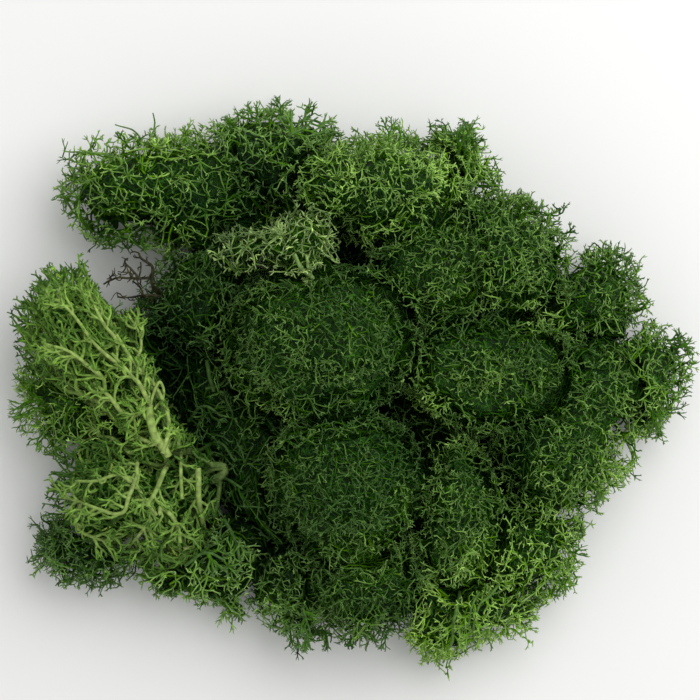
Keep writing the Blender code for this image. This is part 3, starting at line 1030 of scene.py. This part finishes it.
def matting(growth, node, habit, openPoints, rng):
    # the old stems matted in the middle: a rough dark body well under the tips,
    # which still fills the solid where other tufts press on it
    even = bodyFrom(*solids[node])
    addModifier(even, "REMESH", {"mode": "VOXEL", "voxel_size": heart["voxel"] * mm})
    points, normals, faces = evaluated(even)
    bpy.data.objects.remove(even)
    inside = treeOf([node])
    thick = rayDistances(inside, points - 0.3 * normals, -normals, surveying["deepest"])
    _, away = nearest(points, openPoints)
    share = fading(np.maximum(away - heart["openWithin"], 0), heart["openFade"])
    lift = overgrown(node, points, normals)
    share = np.maximum(share, np.clip(lift / heart["liftFade"], 0, 1))
    share = np.maximum(share, blanket.rimAt(points, heart["rimShare"]))
    deep = habit["coreDepth"] + habit["sink"]
    deep = deep + heart["rimDepth"] * blanket.rimAt(points, heart["rimWidth"]) - swellAt(points)
    depth = np.minimum(deep * share, heart["mostOfThickness"] * (thick + lift))
    moved = points - normals * depth[:, None]
    moved[:, 2] += lift
    moved = nudged(node, habit, moved)
    moved[:, 2] = np.maximum(moved[:, 2] - dipsAndShadeAt(moved)[0], 0.5)
    rough = bodyFrom(moved, faces)
    # rounded off first, so that no corner of it stands out of the stems
    addModifier(rough, "SMOOTH", {"factor": 0.5, "iterations": habit["coreRounding"]})
    for size, height in heart["lumps"]:
        texture = bpy.data.textures.new("mat", "CLOUDS")
        texture.noise_scale = size * mm
        addModifier(rough, "DISPLACE", {"texture": texture, "strength": height * mm,
                                        "texture_coords": "LOCAL", "mid_level": 0.5})
    addModifier(rough, "DECIMATE", {"ratio": habit["coreShare"]})
    points, normals, faces = evaluated(rough)
    bpy.data.objects.remove(rough)
    points[:, 2] = np.maximum(points[:, 2], 0.3)
    # the matted body's tone carries the dips' painted shade
    tone = heart["dye"] - dipsAndShadeAt(points)[1] + heart["dyeSpread"] * rng.normal(size=len(points))
    growth.add(points, np.ones(len(points)), tone, np.zeros((0, 4), int), faces)
    layMat(growth, points, faces, habit, openPoints, rng)


def layMat(growth, points, faces, habit, openPoints, rng):
    # crooked old stems lying over the matted body, where it can be seen
    spacing = habit["matSpacing"]
    place, normal = spreadOver(points, faces, spacing, 1.6, rng)
    _, away = nearest(place, openPoints)
    shown = (away < heart["stemsWithin"]) & (place[:, 2] > 1) & (normal[:, 2] > -0.25)
    place, normal = place[shown], normal[shown]
    kept = thinOut(place, 0.7 * spacing)
    place, normal = place[kept], normal[kept]
    n = len(place)
    flat = across(normal, rng)
    length = habit["matLength"] * varied(0.8, (n, 1), rng)
    start = place - flat * length / 2 + 0.1 * normal
    end = place + flat * length / 2 + 0.9 * normal * rng.random((n, 1))
    leaving = unit(flat + normal * rng.random((n, 1)) + 0.7 * rng.normal(size=(n, 3)))
    arriving = unit(flat + 0.7 * rng.normal(size=(n, 3)))
    radius = 0.5 * habit["thickness"][1] * (0.8 + 0.5 * rng.random(n))
    # the old stems' tone carries the dips' painted shade
    tone = heart["stemDye"] - dipsAndShadeAt(place)[1] + heart["stemDyeSpread"] * rng.normal(size=n)
    ages = [np.full(n, age) for age in heart["stemAges"]]
    addStems(growth, start, leaving, arriving, end, (radius, radius), ages, tone, 2, 3, False, rng)


# old stems that show, as places along them in shares of the tuft's box:
# places, thickness at each end, how many sprays they carry, and the sprays' reach
limbs = {
    "left_head_tuft": [
        ([(0.86, 0.08), (0.8, 0.2), (0.77, 0.31)], (2.0, 1.9), 3, 5),
        ([(0.77, 0.31), (0.72, 0.4), (0.67, 0.46), (0.58, 0.56)], (1.2, 0.8), 9, 6),
        ([(0.77, 0.3), (0.64, 0.28), (0.57, 0.35), (0.48, 0.42)], (1.3, 0.8), 8, 6),
        ([(0.77, 0.31), (0.8, 0.4), (0.825, 0.42), (0.83, 0.36), (0.8, 0.3)], (0.8, 0.6), 0, 0),
        ([(0.84, 0.12), (0.87, 0.24), (0.8, 0.4), (0.7, 0.5), (0.6, 0.64)], (1.1, 0.7), 9, 5),
        ([(0.82, 0.14), (0.66, 0.18), (0.5, 0.3), (0.36, 0.4)], (1.1, 0.7), 9, 6),
        ([(0.62, 0.5), (0.5, 0.6), (0.4, 0.74), (0.3, 0.82)], (0.9, 0.6), 9, 6),
        ([(0.6, 0.6), (0.52, 0.72), (0.46, 0.84)], (0.9, 0.6), 6, 6),
        ([(0.5, 0.46), (0.36, 0.56), (0.22, 0.62)], (0.9, 0.6), 8, 6),
        ([(0.7, 0.5), (0.72, 0.62), (0.66, 0.74)], (0.9, 0.6), 6, 5),
    ],
    "left_fan_tuft": [
        ([(0.7, 0.99), (0.72, 0.84), (0.69, 0.7), (0.64, 0.56), (0.6, 0.46)], (1.5, 1.0), 7, 6),
        ([(0.66, 0.96), (0.56, 0.88), (0.49, 0.81), (0.4, 0.92), (0.3, 0.93)], (1.1, 0.7), 9, 6),
        ([(0.57, 0.88), (0.55, 0.74), (0.53, 0.62), (0.43, 0.67), (0.32, 0.62), (0.2, 0.62)],
         (1.1, 0.7), 11, 6),
        ([(0.53, 0.62), (0.5, 0.49), (0.44, 0.4), (0.32, 0.42), (0.22, 0.47), (0.1, 0.49)],
         (1.1, 0.7), 11, 6),
        ([(0.66, 0.38), (0.7, 0.4), (0.76, 0.3), (0.78, 0.18)], (1.2, 0.9), 6, 6),
        ([(0.66, 0.38), (0.58, 0.5), (0.54, 0.6)], (1.0, 0.9), 4, 5),
        ([(0.22, 0.47), (0.2, 0.28), (0.3, 0.2), (0.4, 0.18)], (0.9, 0.6), 8, 6),
        ([(0.64, 0.36), (0.56, 0.26), (0.5, 0.14)], (1.0, 0.7), 7, 6),
        ([(0.79, 0.96), (0.79, 0.74), (0.81, 0.5)], (0.7, 0.9), 4, 5),
        ([(0.87, 0.7), (0.89, 0.45), (0.92, 0.18)], (1.5, 1.1), 5, 6),
        ([(0.78, 0.12), (0.93, 0.14), (1.0, 0.2)], (0.9, 0.7), 4, 5),
    ],
    "back_tuft": [([(0.6, 0.62), (0.72, 0.74), (0.8, 0.82)], (0.6, 0.4), 8, 6)],
    "front_edge_tuft": [([(0.66, 0.42), (0.72, 0.26), (0.8, 0.12)], (0.6, 0.4), 7, 5)],
    "front_right_edge_tuft": [
        ([(0.42, 0.66), (0.41, 0.52), (0.38, 0.4), (0.39, 0.28), (0.37, 0.18)], (0.9, 0.6), 3, 4),
        ([(0.69, 0.78), (0.64, 0.66), (0.57, 0.56), (0.55, 0.4), (0.5, 0.25)], (0.7, 0.5), 4, 4),
        ([(0.56, 0.66), (0.5, 0.55), (0.49, 0.42), (0.44, 0.3)], (0.6, 0.45), 3, 4),
    ],
    "back_left_tuft": [
        ([(0.35, 0.88), (0.3, 0.99, 0.5), (0.227, 1.05, 0.5)], (0.5, 0.3), 0, 0),
        ([(0.385, 0.9), (0.396, 1.05, 0.5), (0.384, 1.14, 0.5)], (0.5, 0.3), 0, 0),
    ],
    "left_front_tuft": [
        ([(0.66, 0.26), (0.7, 0.12, 0.25), (0.735, -0.04, 0.12)], (1.3, 0.4), 0, 0),
        ([(0.1, 0.85), (0.3, 0.75), (0.5, 0.78)], (1.0, 0.7), 6, 6),
        ([(0.3, 0.5), (0.45, 0.6), (0.6, 0.55)], (0.9, 0.6), 6, 6),
        ([(0.6, 0.9), (0.7, 0.7), (0.72, 0.5)], (1.0, 0.7), 6, 6),
    ],
    "pale_tuft": [
        ([(0.62, 0.3), (0.68, 0.16), (0.74, 0.02)], (0.7, 1.0), 2, 3),
        ([(0.7, 0.3), (0.73, 0.16), (0.745, 0.02)], (0.6, 0.8), 1, 3),
    ],
    "left_hollow_tuft": [
        ([(0.42, 0.73), (0.425, 0.68), (0.436, 0.62)], (1.2, 1.0), 0, 0),
        ([(0.3, 0.5), (0.4, 0.55), (0.52, 0.52)], (0.9, 0.6), 5, 6),
        ([(0.35, 0.4), (0.48, 0.42), (0.58, 0.36)], (0.9, 0.6), 5, 6),
        ([(0.36, 0.28), (0.5, 0.3), (0.62, 0.26)], (0.9, 0.6), 5, 6),
        ([(0.4, 0.62), (0.5, 0.64), (0.56, 0.7)], (0.8, 0.5), 4, 5),
    ],
}
# loose sprays past the outline: start and end in shares of the tuft's box
sprays = {
    "back_sprig_tuft": [
        ((0.48, 0.53), (0.6, 0.97)), ((0.42, 0.5), (0.42, 0.95)), ((0.56, 0.6), (0.76, 0.78)),
        ((0.5, 0.35), (0.78, 0.36)), ((0.6, 0.25), (0.84, 0.2)),
    ],
    "crown_tuft": [((0.54, 0.82), (0.57, 1.03)), ((0.6, 0.82), (0.645, 1.02))],
    "back_tuft": [
        ((0.24, 0.7), (0.14, 0.88)), ((0.38, 0.74), (0.35, 0.96)), ((0.55, 0.8), (0.55, 1.03)),
        ((0.7, 0.75), (0.78, 0.98)), ((0.85, 0.6), (0.98, 0.8)),
    ],
    "back_left_tuft": [
        ((0.3, 0.85), (0.25, 0.98)), ((0.5, 0.85), (0.5, 0.98)), ((0.35, 0.2), (0.36, 0.02)),
    ],
    "right_end_tuft": [
        ((0.72, 0.78), (1.03, 0.76)), ((0.66, 0.84), (0.92, 0.82)), ((0.6, 0.48), (0.8, 0.4)),
        ((0.45, 0.28), (0.62, 0.14)),
    ],
    "right_front_tuft": [((0.83, 0.44), (0.97, 0.34))],
    "back_right_tuft": [((0.78, 0.74), (0.97, 0.77)), ((0.84, 0.62), (1.0, 0.6))],
    "front_edge_tuft": [((0.52, 0.22), (0.53, 0.0)), ((0.86, 0.24), (1.02, 0.0))],
    "front_low_tuft": [((0.67, 0.16), (0.75, -0.01)), ((0.4, 0.12), (0.4, -0.02))],
    "left_side_tuft": [
        ((0.3, 0.66), (0.0, 0.76)), ((0.3, 0.62), (-0.02, 0.63)), ((0.28, 0.55), (0.02, 0.5)),
        ((0.3, 0.3), (0.2, 0.08)), ((0.25, 0.85), (0.12, 1.0)), ((0.4, 0.2), (0.42, -0.02)),
    ],
    "front_right_tuft": [((0.8, 0.4), (1.0, 0.38)), ((0.7, 0.2), (0.86, 0.08))],
}
lyingSpray = {**spray, "thick": (0.8, 0.46), "levels": 3, "spread": 36, "ages": (0.62, 0.25),
              "flatness": 0.6, "steps": 2, "splits": (2, 2, 2, 3)}
limbLooks = {
    "lying": {"rise": 0.6, "ages": (0.9, 0.6), "spray": lyingSpray},
    "standing": {"rise": 0.6, "ages": (0.12, 0.08),
                 "spray": {**lyingSpray, "thick": (0.6, 0.4), "ages": (0.3, 0.1)}},
    "edge": {**spray, "thick": (0.5, 0.26), "spread": 27},
}


def layLimbs(growth, node, habit, rng):
    pale = habit["dye"] == "bright_moss"
    look = limbLooks["lying" if pale else "standing"]
    tone = 0.42 + habit["toneShift"] * (0.3 if pale else 1)
    limbTone, sprayTone = (tone + 0.1, tone + 0.08) if pale else (0.36, tone)
    for places, thick, count, reach in limbs.get(node, ()):
        spots, ways = addLimb(growth, node, places, look["rise"], thick, look["ages"], limbTone,
                              rng)
        if count:
            which = rng.integers(1, len(spots), count)
            back = rng.random((count, 1))
            at = spots[which] * (1 - back) + spots[which - 1] * back
            up = np.tile([0, 0, 1.0], (count, 1))
            side = unit(np.cross(ways[which], up)) * rng.choice((-1, 1), (count, 1))
            going = unit(ways[which] + 0.9 * side + 0.25 * up)
            addSprays(growth, at, going, np.full(count, float(reach)), np.full(count, sprayTone),
                      habit, look["spray"], rng, flatTo=up)
    for start, end in sprays.get(node, ()):
        start, end = spotOn(node, start, -1), boxPoint(node, (*end, 0))
        end[2] = start[2] + 0.5
        way = end - start
        addSprays(growth, start[None], way[None], np.array([np.linalg.norm(way)]),
                  np.array([tone - 0.12]), habit, limbLooks["edge"], rng)


# pairs of tufts that stand apart, with a dark crack between them
cracks = {frozenset(pair) for pair in (
    ("front_tuft", "front_ridge_tuft"), ("front_ridge_tuft", "right_front_tuft"),
    ("pale_tuft", "crown_tuft"), ("pale_tuft", "middle_tuft"),
    ("left_head_tuft", "left_inner_tuft"), ("left_head_tuft", "left_hollow_tuft"),
    ("left_fan_tuft", "left_hollow_tuft"), ("centre_tuft", "left_hollow_tuft"),
    ("front_tuft", "left_hollow_tuft"), ("back_left_tuft", "left_inner_tuft"),
)}

whole = treeOf(solids)
blanket = Blanket(whole, surface["step"], surface["ball"])
surveys, openPoints = {}, []
for number, (node, own) in enumerate(tufts.items()):
    rng = np.random.default_rng(100 + number)
    surveys[node] = survey(node, {**usual, **own}, whole, rng)
    place, _, _, openness = surveys[node]
    openPoints.append(place[openness > surveying["open"]])
openPoints = np.concatenate(openPoints)
count = sum(len(v[0]) for v in surveys.values())
print(f"solids surveyed: {count} places, {len(openPoints)} in the open")

chances = {
    "open": 0.3,                    # open enough for a fork at every place
    "buried": 0.9, "fade": 3.5,     # under others, by how far from the nearest open place
    "rimWidth": 5.0, "rimLess": 0.25, "rimLeast": 0.7,
    "valley": 0.88,                 # the most in a valley that is grown over
    "bareFade": 0.12,               # past the bare share of a tuft
}


def chanceOf(node, habit, place, openness, rim, lift):
    # how likely each place is to carry a fork
    buried = nearest(place, openPoints)[1]
    chance = np.maximum(np.clip(openness / chances["open"], 0, 1),
                        chances["buried"] * fading(buried, chances["fade"]))
    fromFoot = np.linalg.norm(place - boxPoint(node, habit["foot"]), axis=1)
    fromFoot = (fromFoot / fromFoot.max() - habit["bareTo"]) / chances["bareFade"]
    chance = np.maximum(chance * (1 - chances["rimLess"] * rim), chances["rimLeast"] * rim)
    chance = chance * np.clip(fromFoot, 0.0, 1)
    return np.maximum(chance, np.clip(4 * lift, 0, chances["valley"]))


total = 0
for number, (node, own) in enumerate(tufts.items()):
    habit = {**usual, **own}
    rng = np.random.default_rng(200 + number)
    place, normal, thick, openness = surveys[node]
    rim = blanket.rimAt(place, chances["rimWidth"])
    lift = overgrown(node, place, normal)
    keep = rng.random(len(place)) < chanceOf(node, habit, place, openness, rim, lift)
    place = place + normal * (swellAt(place) - habit["sink"])[:, None]
    place[:, 2] += lift
    place = nudged(node, habit, place)
    # each place sinks into the dips and takes their painted shade into its tone
    down, paintedShade = dipsAndShadeAt(place)
    place[:, 2] -= down
    # where stems grow up out of a valley they are lit from above and stand upright
    openness = np.maximum(openness, np.clip(lift / 3, 0, 0.5))
    upright = np.clip(lift / 4, 0, 0.8)[:, None]
    normal = unit(normal * (1 - upright) + np.array([0, 0, 1.0]) * upright)
    keep = np.flatnonzero(keep)
    keep = keep[thinOut(place[keep], 0.8 * habit["forkSpacing"])]
    growth = Growth()
    kept = [values[keep] for values in (place, normal, thick + lift, rim, openness, paintedShade)]
    growTuft(growth, node, habit, kept, rng)
    matting(growth, node, habit, openPoints, rng)
    layLimbs(growth, node, habit, rng)
    piece, count = meshOf(growth, node.replace("_tuft", "_moss"), finishes[habit["dye"]])
    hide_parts(node)
    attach(piece, "root")
    total += count
    print(f"{piece.name}: {len(keep)} forks, {count} triangles")
print(f"moss grown: {total} triangles")


# A dead branchlet that took up no dye: dried lichen, hard and slightly glossy where its skin
# shrank. What it gives the eye is a dark olive-brown line with paler worn places.
twig = {
    "dark": "#211f0e", "worn": "#504c2e", "darkTo": 0.42, "wornFrom": 0.72,
    "roughness": 0.62, "roughnessSpread": 0.15, "specular": 0.25,
    "patch": 1.6, "patchDetail": 4, "bump": 0.7, "bumpDepth": 0.15,
    "slimmer": 0.62,            # than the thicknesses below
    "shoots": {**spray, "levels": 2, "thick": (0.4, 0.24), "splits": (1, 2, 2), "spread": 38},
    # places along each arm in shares of the twig's box, then the thickness at each end
    "arms": [
        ([(-0.36, 0.7, 0.78), (-0.18, 0.8, 0.8), (0.03, 0.84, 0.84), (0.32, 0.84, 0.8),
          (0.58, 0.86, 0.75), (0.78, 0.88, 0.7)], (0.7, 1.1)),
        ([(0.36, 0.79, 0.75), (0.48, 0.72, 0.7), (0.56, 0.6, 0.65), (0.63, 0.46, 0.6)], (0.6, 0.8)),
        ([(-0.03, 0.42, 0.6), (0.23, 0.38, 0.55), (0.58, 0.42, 0.55), (0.76, 0.46, 0.5),
          (1.04, 0.42, 0.4)], (0.55, 1.0)),
        ([(1.1, 0.4, 0.0), (0.96, 0.56, 0.35), (0.83, 0.72, 0.7), (0.87, 0.96, 0.8),
          (0.83, 1.15, 0.85), (0.7, 1.23, 0.85), (0.58, 1.32, 0.8), (0.53, 1.44, 0.8)], (1.5, 0.8)),
        ([(0.58, 1.23, 0.85), (0.6, 1.1, 0.85), (0.53, 0.92, 0.8)], (0.5, 0.7)),
        ([(0.23, 1.32, 0.95), (0.22, 1.22, 0.95), (0.34, 1.1, 0.9), (0.45, 0.94, 0.85),
          (0.56, 0.84, 0.8)], (0.7, 0.9)),
        ([(0.2, 1.15, 0.95), (0.26, 1.01, 0.9), (0.32, 0.86, 0.82)], (0.4, 0.55)),
        ([(0.0, 0.98, 1.0), (0.13, 0.99, 0.95), (0.32, 0.99, 0.9)], (0.35, 0.45)),
        ([(-0.09, 1.07, 0.95), (-0.07, 0.98, 0.9), (-0.05, 0.84, 0.84)], (0.3, 0.45)),
        ([(-0.21, 0.91, 0.9), (-0.16, 0.82, 0.8)], (0.3, 0.4)),
        ([(-0.18, 0.34, 0.5), (-0.03, 0.51, 0.6), (0.0, 0.42, 0.6)], (0.3, 0.4)),
        ([(0.86, 0.3, 0.45), (0.73, 0.43, 0.52)], (0.35, 0.5)),
        ([(0.13, 1.34, 1.0), (0.23, 1.27, 0.95)], (0.35, 0.5)),
        ([(0.91, 1.1, 0.9), (0.86, 1.01, 0.8)], (0.3, 0.45)),
    ],
}


def branchletFinish():
    made, tree = newMaterial("dead branchlet")
    where = addNode(tree, "ShaderNodeTexCoord").outputs["Object"]
    patches = patchesOf(tree, where, twig["patch"], twig["patchDetail"])
    colour = rampOf(tree, patches, [(twig["darkTo"], twig["dark"]),
                                    (twig["wornFrom"], twig["worn"])])
    spread = twig["roughnessSpread"]
    rough = ranged(tree, patches, (twig["roughness"] - spread, twig["roughness"] + spread))
    bump = addNode(tree, "ShaderNodeBump", {}, {
        "Height": patches, "Strength": twig["bump"], "Distance": twig["bumpDepth"] * mm})
    coat(tree, {"Base Color": colour, "Roughness": rough, "Specular IOR Level": twig["specular"],
                "Normal": bump.outputs["Normal"]})
    return made


growth, rng = Growth(), np.random.default_rng(7)
for places, thick in twig["arms"]:
    thick = [twig["slimmer"] * t for t in thick]
    spots, ways = addLimb(growth, "bare_twig", places, 0, thick, (0.2, 0.8), 0.5, rng, 0.16)
    # short side shoots, mostly one to each bend
    bends = np.arange(1, len(spots))
    flat = unit(across(ways[bends], rng) * (1, 1, 0.4))
    addSprays(growth, spots[bends], ways[bends] + 1.4 * flat, 1.6 + 1.6 * rng.random(len(bends)),
              np.full(len(bends), 0.5), usual, twig["shoots"], rng)
piece, count = meshOf(growth, "bare_branchlet", branchletFinish())
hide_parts("bare_twig")
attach(piece, "root")
print(f"bare branchlet: {count} triangles")


studio = {
    "floor": "#f0f0ef", "floorSize": 3000, "floorRoughness": 0.9, "floorSpecular": 0.1,
    "keyAt": (370, 290, 600), "keySize": 820, "keyPower": 4.9,
    "sky": 0.62, "skyColour": "#fffffe",
    "cameraAt": (-0.35, 7.63, 900), "lens": 195.7, "filmWidth": 36,
}


def layFloor():
    half = studio["floorSize"] / 2 * mm
    mesh = bpy.data.meshes.new("floor")
    corners = [(x * half, y * half, 0) for x, y in ((-1, -1), (1, -1), (1, 1), (-1, 1))]
    mesh.from_pydata(corners, [], [(0, 1, 2, 3)])
    floor = newObject("floor", mesh)
    # White paper: pressed fibres, matt. What it gives the eye is a soft shadow with no shine.
    made, tree = newMaterial("white paper")
    coat(tree, {"Base Color": linear(studio["floor"]), "Roughness": studio["floorRoughness"],
                "Specular IOR Level": studio["floorSpecular"]})
    mesh.materials.append(made)


def setLights():
    lamp = bpy.data.lights.new("softbox", "AREA")
    lamp.size = studio["keySize"] * mm
    lamp.energy = studio["keyPower"]
    key = newObject("softbox", lamp)
    key.location = [v * mm for v in studio["keyAt"]]
    key.rotation_mode = "QUATERNION"
    key.rotation_quaternion = (-key.location).to_track_quat("-Z", "Y")
    world = bpy.data.worlds.new("studio")
    scene.world = world
    world.use_nodes = True
    sky = world.node_tree.nodes["Background"].inputs
    sky["Color"].default_value = linear(studio["skyColour"])
    sky["Strength"].default_value = studio["sky"]


def setCamera():
    lens = bpy.data.cameras.new("camera")
    lens.lens = studio["lens"]
    lens.sensor_width = studio["filmWidth"]
    lens.clip_start, lens.clip_end = 0.05, 10
    scene.camera = newObject("camera", lens)
    scene.camera.location = [v * mm for v in studio["cameraAt"]]


layFloor()
setLights()
setCamera()
scene.view_settings.view_transform = "Standard"
print("studio set")
